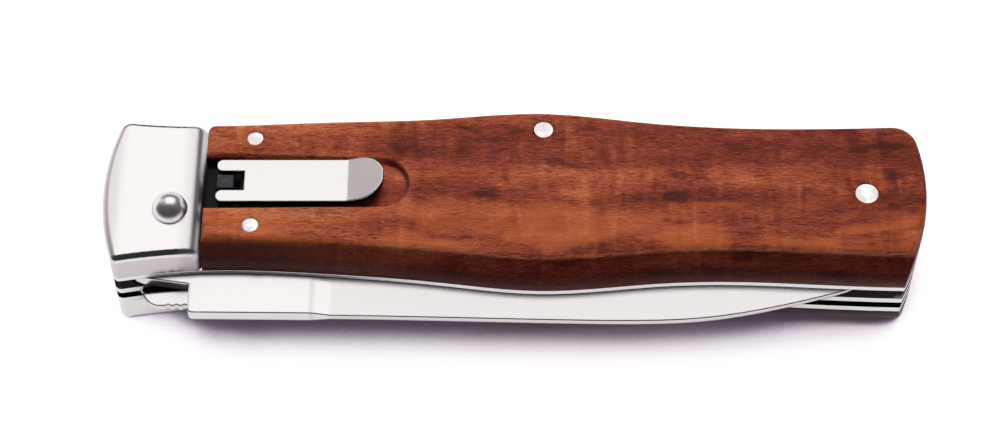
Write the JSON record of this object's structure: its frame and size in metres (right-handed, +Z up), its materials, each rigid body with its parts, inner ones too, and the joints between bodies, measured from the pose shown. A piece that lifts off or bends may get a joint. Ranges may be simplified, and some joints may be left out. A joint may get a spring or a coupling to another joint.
{
  "type": "folding lever-lock knife",
  "caption": "Closed folding knife on its side: wood handle scales, steel bolsters, liners, clip-point blade, second saw blade and a lock lever over a plunger.",
  "frame": {"origin": "middle of the bottom of the bounding box, with the closed knife lying on its rear scale and the lever up", "axes": "+X from the bolsters to the butt, +Y from the open edge of the handle to its back, +Z up through the thickness"},
  "size_m": [0.1306, 0.0351, 0.0204],
  "materials": {
    "bolster_steel": "mirror polished",
    "liner_steel": "ground flat, bright edges",
    "blade_steel": "fine satin, bright spine",
    "spring_steel": "tempered, plain",
    "lever_steel": "long-grain brushed",
    "pin_steel": "polished, slightly domed",
    "plunger_steel": "blackened",
    "scale_wood": "oiled satin, figured reddish hardwood"
  },
  "bodies": {
    "handle": {"front_bolster": "bolster_steel", "rear_bolster": "bolster_steel", "front_scale": "scale_wood", "rear_scale": "scale_wood", "front_liner": "liner_steel", "middle_liner": "liner_steel", "rear_liner": "liner_steel", "back_spacer": "spring_steel", "kick_spring": "spring_steel", "saw_spring": "spring_steel", "pivot_pin": "pin_steel", "middle_pin": "pin_steel", "butt_pin": "pin_steel", "front_scale_pins": "pin_steel", "rear_scale_pins": "pin_steel", "spring_rivet": "pin_steel", "blade_stop_pin": "pin_steel", "plunger_spring": "spring_steel"},
    "blade": {"main_blade": "blade_steel"},
    "saw": {"saw_blade": "blade_steel"},
    "plunger": {"lock_plunger": "plunger_steel", "lever_cross_pin": "pin_steel"},
    "lever": {"lock_lever": "lever_steel"}
  },
  "joints": [
    {"name": "blade_hinge", "type": "hinge", "parent": "handle", "child": "blade", "pos_m": [-0.0544, -0.0011, 0.01045], "axis": [0, 0, -1], "range_deg": [0, 180]},
    {"name": "saw_hinge", "type": "hinge", "parent": "handle", "child": "saw", "pos_m": [-0.0544, -0.0011, 0.00735], "axis": [0, 0, -1], "range_deg": [0, 180]},
    {"name": "plunger_slide", "type": "slide", "parent": "handle", "child": "plunger", "axis": [0, 0, 1], "range_m": [0, 0.0016], "deforming": ["plunger_spring"]},
    {"name": "lever_hinge", "type": "hinge", "parent": "plunger", "child": "lever", "pos_m": [-0.0459, 0.004, 0.01685], "axis": [0, -1, 0], "range_deg": [0, 55], "stiffness_Nm_per_rad": 0.01, "springref_deg": -11.46}
  ],
  "couplings": [
    {"joint": "lever_hinge", "follows": "plunger_slide", "rad_per_m": 599.9}
  ]
}
